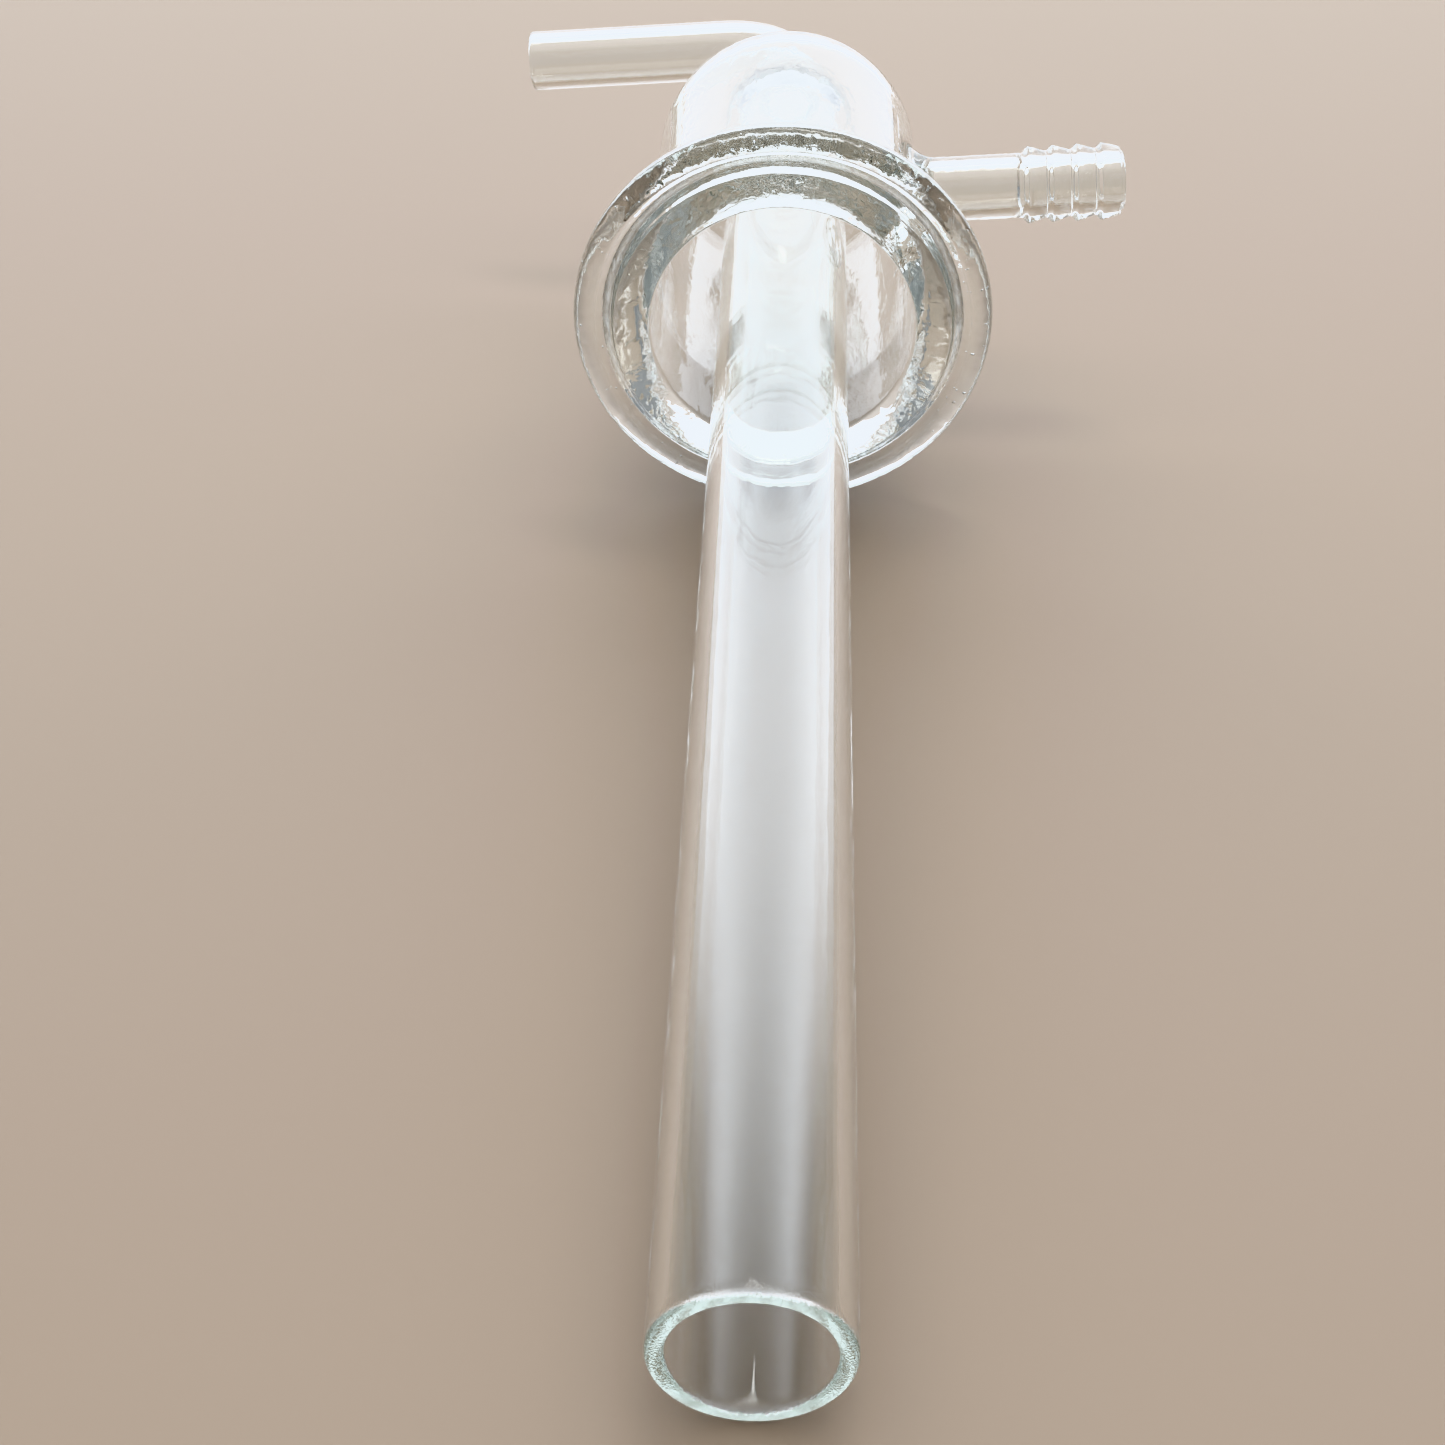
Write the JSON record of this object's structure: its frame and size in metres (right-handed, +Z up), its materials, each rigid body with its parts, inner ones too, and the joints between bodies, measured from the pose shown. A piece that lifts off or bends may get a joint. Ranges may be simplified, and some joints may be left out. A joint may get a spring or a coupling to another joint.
{
  "type": "vacuum cold trap head",
  "caption": "Clear glass cold trap head: grooved sealing flange, domed barrel, long straight dip tube, bent side arm and serrated hose connection.",
  "frame": {"origin": "middle of the part's outline on the surface it lies on", "axes": "+Z up from the surface, +Y away along the dip tube toward the dome, +X to the hose connection's side"},
  "size_m": [0.1008, 0.2846, 0.0612],
  "materials": {
    "flange_ring": "clear",
    "neck": "clear",
    "barrel": "clear",
    "dome": "clear",
    "ring_seal": "clear",
    "dip_tube": "clear",
    "arm_collar": "clear",
    "elbow": "clear",
    "side_arm": "clear",
    "hose_foot": "clear",
    "hose_stem": "clear",
    "hose_barb": "clear"
  },
  "bodies": {
    "root": {"flange_ring": "flange_ring", "neck": "neck", "barrel": "barrel", "dome": "dome", "ring_seal": "ring_seal", "dip_tube": "dip_tube", "arm_collar": "arm_collar", "elbow": "elbow", "side_arm": "side_arm", "hose_foot": "hose_foot", "hose_stem": "hose_stem", "hose_barb": "hose_barb"}
  },
  "joints": []
}
